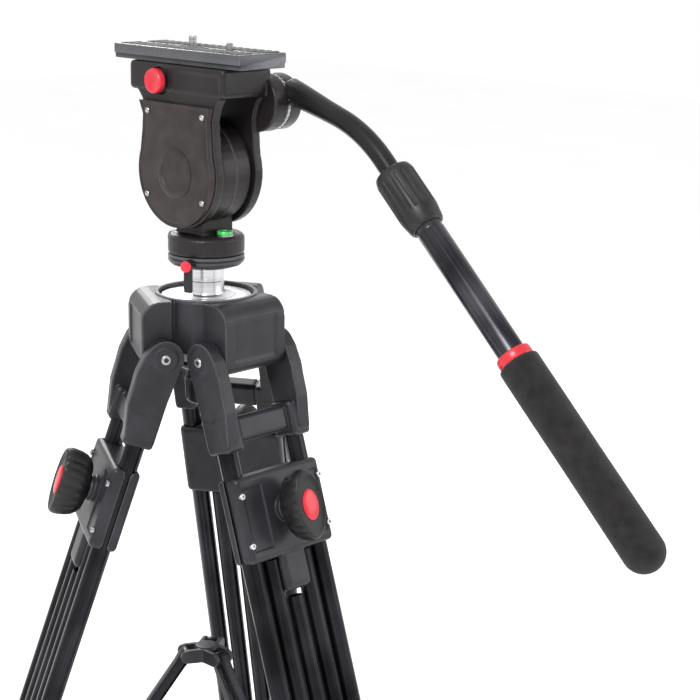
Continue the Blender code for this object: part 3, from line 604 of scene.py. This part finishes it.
def foot():
    """A bellows rubber foot, its sole ground flat for the spread leg."""
    rings = [(0, -662), (19, -662), (19, -640)]
    lowest = -637
    for z in (lowest, lowest + 5, lowest + 10):
        rings += [(17.5 + (z - lowest) * 0.1, z - 1.2), (15.4, z), (17.2, z + 1.4)]
    rings += [(14.6, -622), (12.2, -612), (11.2, -601), (8.2, -600), (8.2, -612), (0, -612)]
    made = turned("foot", rings, 48)
    floor = LEG_FRAMES["rear"].inverted()
    return cut(made, placed(block("floor", (-300, 300), (-500, 200), (-60, 0)), floor))


def make_legs():
    """Every piece of a leg with its material, or none for the leg's own tube, its body and its CAD nodes."""
    patterns = [
        (clevis(), COATED, "leg", ("clevis",)),
        (hinge_bolt(), STEEL, "leg", ("hinge_pin",)),
        (tube("outer_tube_left", 8, 1.2, 36.8, -535, -52), None, "leg", ("outer_tube_left",)),
        (tube("outer_tube_right", 8, 1.2, -36.8, -535, -52), None, "leg", ("outer_tube_right",)),
        (crossbar(), COATED, "leg", ("crossbar",)),
        (collar(), COATED, "middle_stage", ("middle_frame",)),
        (tube("middle_tube_left", 7.5, 1.2, 18.4, -563.5, -166), None, "middle_stage", ()),
        (tube("middle_tube_right", 7.5, 1.2, -18.4, -563.5, -166), None, "middle_stage", ()),
        (lower_block(), COATED, "middle_stage", ("lower_block",)),
        (oblong_knob("upper_lock_knob", -128, 18, 26.5, 16, 29), KNOB, "upper_knob", ("upper_lock_knob",)),
        (knob_cap("upper_knob_cap", -128, 41.9, 8.2, 12.4), RED, "upper_knob", ()),
        (oblong_knob("lower_lock_knob", -571, 17, 19.5, 12, 19), KNOB, "lower_knob", ("lower_lock_knob",)),
        (knob_cap("lower_knob_cap", -571, 34.0, 6, 8.5), RED, "lower_knob", ()),
        (tube("centre_tube", 7.5, 1.2, 0, -611.6, -200), None, "foot_stage", ("centre_tube",)),
        (foot(), RUBBER, "foot_stage", ("foot",)),
    ]
    for side in (-1, 1):
        for z in (-110, -150):
            screw = socket_screw(f"clamp_screw_{'right' if side < 0 else 'left'}_{-z}", 2.6, 2.2)
            patterns.append((placed(screw, at(12.2, side * 42.6, z) @ TO_RIGHT), STEEL, "middle_stage", ()))
    for leg in LEGS:
        for pattern, material, body, nodes in patterns:
            piece = twin(pattern, f"{leg}_{pattern.name}_finish")
            placed(piece, LEG_FRAMES[leg])
            finish(piece, material or TUBES[leg], f"{leg}_{body}", *[f"{leg}_{node}" for node in nodes])
    for pattern, *rest in patterns:
        bpy.data.objects.remove(pattern, do_unlink=True)


# ---------------------------------------------------------------- bowl, ball and spreader

def make_bowl():
    hinge = Matrix.Translation((PAN.x, PAN.y, JOINTS["rear_leg_fold"]["pos_m"][2]))
    bowl = cad_copy("bowl_casting", "bowl", hinge)
    for leg in LEGS:
        way = hinge.inverted() @ LEG_FRAMES[leg]
        out = (way.to_3x3() @ Vector((0, 1, 0))).cross(Vector((0, 0, 1)))
        middle = Matrix.Translation(way.translation) @ Matrix.Rotation(math.atan2(out.y, out.x), 4, "Z")
        cut(bowl, placed(block("web", (15.5, 20), (-24, 24), (-2, 33), 3), middle))
    cast(bowl, 1.0)
    finish(placed(bowl, hinge), COATED, "bowl", "bowl_casting")
    rim = turned("bowl_rim", [(38.7, 44.05), (42, 44.05), (42, 44.7), (41.6, 45.1), (39.1, 45.1),
                              (38.7, 44.7), (38.7, 44.05)], 72)
    finish(placed(rim, hinge), COATED, "bowl")

    neck_top = (HEAD.translation.z - BALL.translation.z) / MM - 0.3
    ball = turned("ball", [(0, -84), (4.2, -84), (5, -83.2), (5, -31.2)] + arc((0, 0), 37.5, -56, 0, 14)
                  + [(37.2, 1.4), (36.4, 2), (24, 2.3), (23.4, 2.9), (17, 3), (15.4, 4), (14.5, 6.4),
                     (14.5, 14), (13.9, 14.6), (13.9, 16), (14.5, 16.6), (14.5, neck_top), (0, neck_top)], 72)
    finish(placed(ball, BALL), BRIGHT, "ball", "half_ball")
    washer = turned("washer", [(11, -58), (21.4, -58), (22.4, -57.6), (24.6, -55.4), (25, -54.6), (25, -53.4),
                               (24.6, -53), (11, -53), (11, -58)], 60)
    finish(placed(washer, BALL), COATED, "level_washer", "cup_washer")
    knob = turned("ball_knob", [(5.4, -88), (14.4, -88), (16.4, -86.6), (17.2, -84.6), (17.8, -69),
                                (17.2, -66), (15.6, -64.2), (10.2, -63), (9.2, -61.8), (9, -59.6),
                                (5.4, -59.6), (5.4, -88)], 48)
    fluted(knob, 17.5, -84, -70, 12, 1.4)
    rounded(knob, 0.5)
    finish(placed(knob, BALL), KNOB, "ball_knob", "ball_clamp_knob")


def make_spreader():
    arm_slope, ear_height, thickness = 55, 11, 9.6
    hub_at = Matrix.Translation((PAN.x, PAN.y, JOINTS["rear_spreader_arm_swing"]["pos_m"][2]))
    hub = cast(cad_copy("spreader_hub", "spreader_hub_casting", hub_at), 0.6, 2)
    finish(placed(hub, hub_at), COATED, "spreader_hub", "spreader_hub")
    for leg in LEGS:
        swing = JOINTS[f"{leg}_spreader_arm_swing"]
        low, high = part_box(f"{leg}_spreader_arm")
        across = Vector(swing["axis"])
        out = across.cross(Vector((0, 0, 1)))
        slope = math.radians(arm_slope)
        way = out * math.cos(slope) - Vector((0, 0, 1)) * math.sin(slope)
        length = ((high.z - low.z) / MM - ear_height) / math.sin(slope)
        arm = sheet_cut(f"{leg}_spreader_arm_finish",
                        arc((0, 0), 5.4, 90, 270, 12) + [(10, -4.6), (length - 10, -4.6)]
                        + arc((length, 0), 5.4, -90, 90, 12) + [(length - 10, 4.6), (10, 4.6)], thickness)
        pick(arm, lambda face: abs(face.normal.z) > 0.9)
        bpy.ops.mesh.inset(thickness=1.3 * MM, depth=0, use_individual=True)
        bpy.ops.transform.shrink_fatten(value=-2.6 * MM)
        only(arm)
        rounded(arm, 0.35, 2)
        stand = Matrix((way, across.cross(way), across)).transposed().to_4x4()
        placed(arm, Matrix.Translation(swing["pos_m"]) @ stand @ at(0, 0, -thickness / 2))
        finish(arm, TUBES[leg], f"{leg}_spreader_arm", f"{leg}_spreader_arm")


# ---------------------------------------------------------------- fluid head

def make_base():
    base = turned("base", [(0, 0), (21.6, 0), (28.6, 2.3), (30.6, 4.6), (31, 5.6), (31, 7), (30.4, 7.4),
                           (30.4, 8.2), (31, 8.6), (31, 9.6), (30.2, 10.6), (0, 10.6)], 72)
    finish(placed(base, HEAD), COATED, "ball", "pan_base")
    body = cad_copy("head_body", "fluid_housing", HEAD)
    cast(body, 0.9, 4)
    finish(placed(body, HEAD), HEAD_PAINT, "pan_head", "head_body")
    seam = turned("drum_seam", [(41.2, -1.2), (41.7, -0.9), (41.9, -0.3), (41.9, 0.3), (41.7, 0.9),
                                (41.2, 1.2), (41.2, -1.2)], 96)
    finish(placed(seam, HEAD @ in_head("tilt") @ TO_RIGHT), HEAD_PAINT, "pan_head")

    lever = JOINTS["pan_lock_swing"]
    out = axes(lever["pos_m"], lever["axis"], (0, 0, 1))
    hub = turned("pan_lock_hub", [(0, 0.4), (4.6, 0.4), (4.6, 9.6), (4.2, 10), (0, 10)], 32)
    join(hub, block("arm", (-22, 0), (-3.4, 3.4), (3, 8), 1.6))
    made = cast(hub, 0.4, 3)
    hanging = Matrix.Rotation(math.pi / 2, 4, "Z")
    finish(placed(made, out @ hanging), KNOB, "pan_lock", "pan_lock_lever")
    cap = turned("pan_lock_cap", [(0, 10), (4.4, 10), (4.6, 10.4), (4.3, 10.9), (2.4, 11), (0, 11)], 32)
    finish(placed(cap, out), RED, "pan_lock")


def make_vial():
    vial_low, vial_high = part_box("level_vial")
    centre = Vector(((vial_low.x + vial_high.x) / 2, (vial_low.y + vial_high.y) / 2, vial_low.z))
    there = Matrix.Translation(centre)
    ring = turned("vial_ring", [(5.8, 0), (7, 0), (7, 0.9), (6.7, 1.2), (6.2, 1.2), (5.8, 0.9), (5.8, 0)], 48)
    finish(placed(ring, there), STEEL, "pan_head", "level_vial")
    window = turned("vial_window", [(0, 0.1), (5.7, 0.1), (6.3, 1.3), (6.4, 3.2), (6.1, 3.8), (5.2, 4.1),
                                    (0, 4.15)], 48)
    finish(placed(window, there), LIQUID, "pan_head")
    bubble = turned("vial_bubble", [(0, 4.1), (1.6, 4.1), (1.5, 4.2), (1.0, 4.3), (0, 4.32)], 24)
    # The bubble's near-white colour is partly a painted highlight.
    finish(placed(bubble, there @ at(0.6, 0.4, -0.02)), BUBBLE_AND_HIGHLIGHT, "pan_head")


def make_tilt_lock():
    lock = JOINTS["tilt_lock_swing"]
    there = Matrix.Translation(lock["pos_m"])
    hub = bar_between("tilt_lock_finish", 5.5, (0, 0.4, 0), (0, 8.8, 0), 40)
    join(hub, block("handle", (0, 29.6), (3, 7.8), (-3.1, 3.1), 1.6))
    cast(hub, 0.45, 3)
    finish(placed(hub, there), KNOB, "tilt_lock", "tilt_lock_lever")


def make_cradle():
    cradle = cad_copy("tilt_frame", "cradle", HEAD)
    cut(cradle, block("front_pocket", (-18, 18), (60, 68), (144, 156), 1.5))
    cut(cradle, block("left_groove", (-27, -25.2), (-44, 8), (143, 157), 0.6))
    cast(cradle, 0.9, 4)
    finish(placed(cradle, HEAD), HEAD_PAINT, "tilt_cradle", "tilt_frame")

    tilt = HEAD.inverted() @ Vector(JOINTS["tilt"]["pos_m"]) / MM
    disc_radius = 43.6
    outline = arc((tilt.y, tilt.z), disc_radius, 160, 380, 40) + [(43.6, 108), (42.7, 121), (47.6, 131.8),
                                                         (-36.6, 131.8), (-33.7, 121), (-34.7, 108)]
    cover = sheet_cut("cover_left", outline, 4.6)
    pick(cover, lambda face: face.normal.z < -0.9)
    bpy.ops.mesh.inset(thickness=3.2 * MM, depth=0)
    bpy.ops.transform.translate(value=(0, 0, 0.9 * MM))
    bpy.ops.mesh.inset(thickness=1.0 * MM, depth=0)
    bpy.ops.transform.translate(value=(0, 0, -0.7 * MM))
    only(cover)
    rounded(cover, 0.5, 3, 25)
    placed(cover, HEAD @ at(-29.9, 0, 0) @ SIDE_ON)
    finish(cover, COVER, "tilt_cradle", "side_cover_left")
    boss = turned("cover_boss", [(0, 0), (20, 0), (20, 0.5), (19, 1.1), (14.5, 1.2), (14, 0.7), (0, 0.7)], 64)
    finish(placed(boss, HEAD @ in_head("tilt") @ at(-29.6, 0, 0) @ TO_LEFT), COVER, "tilt_cradle")
    screws = ((tilt.y + 33, tilt.z - 20), (tilt.y - 33, tilt.z - 20), (37, 124), (-28, 124))
    for number, (y, z) in enumerate(screws):
        screw = socket_screw(f"cover_screw_{number + 1}", 2.4, 1.6)
        finish(placed(screw, HEAD @ at(-29.0, y, z) @ TO_LEFT), STEEL, "tilt_cradle")

    right = turned("cover_right", [(0, 0.4), (37.4, 0.4), (38, 1), (38, 2.6), (37, 3.6), (31, 4.2),
                                   (30.4, 3.6), (24, 3.6), (23.4, 4.2), (0, 4.2)], 80)
    finish(placed(right, HEAD @ at(25, tilt.y, tilt.z) @ TO_RIGHT), COVER, "tilt_cradle", "side_cover_right")
    dial_at = HEAD @ at(29.8, tilt.y, tilt.z) @ TO_RIGHT
    dial = turned("dial", [(0, 0.2), (20, 0.2), (21, 1), (21, 8.4), (20.2, 9.4), (18.6, 10), (15, 10),
                           (14.4, 9.4), (0, 9.4)], 80)
    fluted(dial, 21, 1, 8.6, 20, 1.1)
    rounded(dial, 0.3)
    finish(placed(dial, dial_at), KNOB, "drag_dial", "tilt_drag_dial")
    centre = turned("dial_cap", [(0, 9.3), (13.6, 9.3), (13.6, 9.7), (12.8, 10), (0, 10)], 48)
    finish(placed(centre, dial_at), COVER, "drag_dial")
    marks, first_mark, mark_step = 9, -120, 30
    for number in range(marks):
        turn = Matrix.Rotation(math.radians(first_mark + mark_step * number), 4, "X")
        mark = block(f"dial_mark_{number + 1}", (28.9, 29.5), (-0.5, 0.5), (26.4, 29.4), 0.15, 1)
        finish(placed(mark, HEAD @ at(0, tilt.y, tilt.z) @ turn), BRIGHT, "tilt_cradle")

    button_low, button_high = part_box("plate_release_button")
    middle = (button_low + button_high) / 2
    there = Matrix.Translation((button_high.x, middle.y, middle.z)) @ TO_LEFT
    depth = (button_high.x - button_low.x) / MM
    button = turned("release_button", [(0, 3.2), (9.4, 3.2), (9.9, 3.7), (9.9, depth - 1.8),
                                       (9.3, depth - 0.7), (8.4, depth - 0.2), (7.4, depth - 0.5),
                                       (4, depth - 1.1), (0, depth - 1.3)], 56)
    finish(placed(button, there), RED, "release_button", "plate_release_button")

    lock = HEAD.inverted() @ Vector(JOINTS["plate_lock_swing"]["pos_m"]) / MM
    lever = bar_between("plate_lock", 7.5, (26.4, lock.y, lock.z), (35.8, lock.y, lock.z), 40)
    handle = block("handle", (31, 36), (0, 33.8), (-4, 4), 1.8)
    join(lever, placed(handle, at(0, lock.y, lock.z) @ Matrix.Rotation(math.radians(-20), 4, "X")))
    cast(lever, 0.5, 3)
    finish(placed(lever, HEAD), KNOB, "plate_lock", "plate_lock_lever")


def make_plate():
    low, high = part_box("camera_plate")
    plate_low, plate_high = HEAD.inverted() @ low / MM, HEAD.inverted() @ high / MM
    x, y = (plate_low.x, plate_high.x), (plate_low.y, plate_high.y)
    base, top = plate_low.z, plate_high.z
    plate = block("sliding_plate", x, y, (base, top), 1.2)
    for side in (-1, 1):
        rail = block("bevel", sorted((side * 25.5, side * 22)), (y[0] - 5, y[1] + 5), (base - 1, base + 4))
        cut(plate, placed(rail, at(side * 1.2, 0, 0)))
        seat = block("pad_seat", sorted((side * 6, side * 22.4)), (y[0] + 5, y[1] - 5),
                     (top - 0.7, top + 3), 0.3)
        cut(plate, seat)
    slot = arc((0, 30.3), 3.7, 0, 180, 12) + arc((0, 1.7), 3.7, 180, 360, 12)
    cut(plate, placed(sheet_cut("slot", slot, 30), at(0, 0, base - 5)))
    recess = arc((0, 30.5), 8.5, 0, 180, 12) + arc((0, 1.5), 8.5, 180, 360, 12)
    cut(plate, placed(sheet_cut("recess", recess, 10), at(0, 0, base - 5)))
    cut(plate, bar_between("pin_hole", 3, (0, -27, base + 4), (0, -27, top + 5), 24))
    for place in (y[0] + 4, y[1] - 4):
        cut(plate, bar_between("stop_hole", 1.6, (0, place, top - 3), (0, place, top + 2), 20))
    rounded(plate, 0.35, 2, 40)
    finish(placed(plate, HEAD), DECK, "plate", "camera_plate")
    margin, pitch, cuts = 5.3, 4.07, 33
    front = y[0] + margin

    def on_rib(face):
        return face.normal.z > 0.9 and int((face.center.y / MM - front) / pitch) % 2 == 0

    for side, word in ((-1, "left"), (1, "right")):
        pad = block(f"plate_pad_{word}", sorted((side * 6.3, side * 22.1)), (front, y[1] - margin),
                    (top - 0.6, top + 0.5))
        only(pad)
        bpy.ops.object.mode_set(mode="EDIT")
        for number in range(1, cuts + 1):
            bpy.ops.mesh.select_all(action="SELECT")
            bpy.ops.mesh.bisect(plane_co=(0, (front + number * pitch) * MM, 0), plane_no=(0, 1, 0))
        pick(pad, on_rib)
        bpy.ops.mesh.inset(thickness=0.3 * MM, depth=0.45 * MM, use_individual=True)
        only(pad)
        finish(placed(pad, HEAD), PAD, "plate")
    for node in ("camera_screw", "alignment_pin"):
        frame["nodes"][node].material_slots[0].material = STEEL


def toothed(name, radius, teeth, low, high):
    """A ring of radial teeth: every second side face of a disc pushed out a little."""
    only()
    bpy.ops.mesh.primitive_cylinder_add(vertices=2 * teeth, radius=radius * MM, depth=(high - low) * MM,
                                        location=(0, 0, (low + high) / 2 * MM))
    made = bpy.context.object
    made.name = made.data.name = name
    bpy.ops.object.transform_apply(location=True, rotation=False, scale=False)
    pick(made, lambda face: abs(face.normal.z) < 0.5 and int(
        (math.atan2(face.center.y, face.center.x) + 2 * math.pi) / (math.pi / teeth)) % 2 == 0)
    bpy.ops.mesh.inset(thickness=0.12 * MM, depth=0.5 * MM, use_individual=True)
    only(made)
    return made


def make_pan_bar():
    rosette = HEAD @ in_head("bar_angle")
    fixed = toothed("rosette_fixed", 22.2, 36, -1.8, 0)
    finish(placed(fixed, rosette @ TO_RIGHT), STEEL, "tilt_cradle", angle=20)
    loose = toothed("rosette_loose", 22.0, 36, 0.3, 2.1)
    finish(placed(loose, rosette @ TO_RIGHT), STEEL, "bar_rod", angle=20)
    eye = turned("bar_eye", [(0, 2.1), (21.4, 2.1), (22.4, 3), (22.4, 12), (21.4, 14.6), (18.6, 16.4),
                             (13, 16.9), (12.6, 16.2), (0, 16.2)], 72)
    finish(placed(eye, rosette @ TO_RIGHT), BAR_ROD, "bar_rod")
    knob = turned("bar_knob", [(0, 0.4), (9, 0.4), (10.6, 1.4), (11, 3), (11, 7.6), (10.2, 9), (8.6, 9.8),
                               (0, 9.8)], 48)
    fluted(knob, 11, 1.2, 8.4, 12, 0.9)
    rounded(knob, 0.3)
    finish(placed(knob, rosette @ at(17, 0, 0) @ TO_RIGHT), KNOB, "bar_knob", "pan_bar_clamp_knob")

    first, last = math.radians(17), math.radians(44)  # the bar's slope before and after its bend
    bend = 120  # the bend's radius
    tangent = bend * math.tan((last - first) / 2)
    end = HEAD.inverted() @ BAR.translation / MM
    corner = Vector((end.y, end.z)) + tangent * Vector((math.cos(last), math.sin(last)))
    start = corner + tangent * Vector((math.cos(first), math.sin(first)))
    middle = start + bend * Vector((math.sin(first), -math.cos(first)))
    path = [start + run * Vector((math.cos(first), math.sin(first))) for run in (56, 44, 30, 15)]
    path += [Vector(point) for point in arc(middle, bend, 107, 134, 16)]
    path += [path[-1] - run * Vector((math.cos(last), math.sin(last))) for run in (20, 149)]
    sizes = [10.2, 9.8, 9.2, 8.4] + [8] * (len(path) - 4)
    rod = placed(swept("bar_rod_finish", [(end.x, *spot) for spot in path], sizes), HEAD)
    finish(rod, BAR_ROD, "bar_rod", "pan_bar_rod", angle=40)

    collar = turned("bar_collar", [(8.4, 11), (12.6, 11), (14.4, 12), (15.6, 15.5), (16, 18), (16, 50),
                                   (15.4, 54), (14, 62), (13, 64), (11.1, 64), (11.1, 17), (8.4, 17),
                                   (8.4, 11)], 72)
    fluted(collar, 16, 17.9, 51, 18, 0.7)
    rounded(collar, 0.4)
    finish(placed(collar, BAR), KNOB, "bar_collar", "pan_bar_collar")
    sleeve = turned("bar_tube", [(8.5, 18), (10.3, 18), (10.7, 18.4), (10.7, 66), (10.3, 66.6), (10.3, 68),
                                 (10.7, 68.6), (10.7, 188), (10.7, 362), (0, 362), (0, 192), (8.5, 192),
                                 (8.5, 18)], 64)
    finish(placed(sleeve, BAR), BAR_TUBE, "bar_tube", "pan_bar_tube")
    ring = turned("bar_ring", [(10.75, 181), (12.8, 181), (13.6, 181.6), (14, 183), (14, 187.6),
                               (13.6, 188.6), (10.75, 188.6), (10.75, 181)], 64)
    finish(placed(ring, BAR), RED, "bar_tube")
    grip = turned("bar_grip", [(11, 189), (14.6, 189), (15.6, 189.8), (16, 191.6), (16, 230), (15.8, 275),
                               (15.9, 320)] + arc((0, 352), 16, 0, 90, 10)
                  + [(0, 362.3), (11, 362.3), (11, 189)], 96)
    finish(placed(grip, BAR), FOAM, "bar_tube", "pan_bar_grip", angle=50)


# ---------------------------------------------------------------- stage

def make_stage():
    only()
    bpy.ops.mesh.primitive_plane_add(size=14, location=(0, 0, 0))
    floor = bpy.context.object
    floor.name = floor.data.name = "floor"
    pale, tree, shader, where = surface("pale matt paper", 0.9)
    tooth = add(tree, "ShaderNodeTexNoise", {"Vector": where, "Scale": 3.0, "Detail": 2.0}).outputs[0]
    paper = add(tree, "ShaderNodeMix", {0: tooth, 6: linear("fbfbfb"), 7: linear("ffffff")}, data_type="RGBA")
    tree.links.new(paper.outputs[2], shader.inputs["Base Color"])
    floor.data.materials.append(pale)

    world = bpy.data.worlds.new("studio")
    bpy.context.scene.world = world
    world.use_nodes = True
    world.node_tree.nodes["Background"].inputs["Color"].default_value = (1, 1, 1, 1)
    world.node_tree.nodes["Background"].inputs["Strength"].default_value = 1.0
    lit = Vector((0, 0.1, 0.6))
    for name, place, size, power in (("key", (-1.6, -0.7, 2.0), 0.7, 34), ("fill", (1.6, -1.7, 1.2), 1.2, 12),
                                     ("rim", (0.9, 1.9, 1.8), 0.9, 30)):
        light = bpy.data.lights.new(name, "AREA")
        light.size, light.energy = size, power
        lamp = bpy.data.objects.new(name, light)
        lamp.location = place
        lamp.rotation_euler = (lit - Vector(place)).to_track_quat("-Z", "Y").to_euler()
        bpy.context.scene.collection.objects.link(lamp)
    bpy.context.scene.view_settings.view_transform = "Standard"


def make_camera():
    """A long lens behind the head's left side, a little higher than the plate and looking slightly down."""
    azimuth, elevation, roll = math.radians(-46.65), math.radians(14.26), math.radians(1.17)
    distance, height, aside = 1.4422, 0.6041, 0.118
    back = Vector((math.sin(azimuth) * math.cos(elevation), -math.cos(azimuth) * math.cos(elevation),
                   math.sin(elevation)))
    right = Vector((math.cos(azimuth), math.sin(azimuth), 0))
    aim = Vector((PAN.x, PAN.y, height)) + aside * right
    camera = bpy.data.objects.new("camera", bpy.data.cameras.new("camera"))
    camera.data.sensor_width = 36
    camera.data.lens = 90.27
    turn = (-back).to_track_quat("-Z", "Y").to_matrix().to_4x4() @ Matrix.Rotation(roll, 4, "Z")
    camera.matrix_world = Matrix.Translation(aim + distance * back) @ turn
    bpy.context.scene.collection.objects.link(camera)
    bpy.context.scene.camera = camera


make_stage()
make_camera()
make_legs()
make_bowl()
make_spreader()
make_base()
make_vial()
make_tilt_lock()
make_cradle()
make_plate()
make_pan_bar()
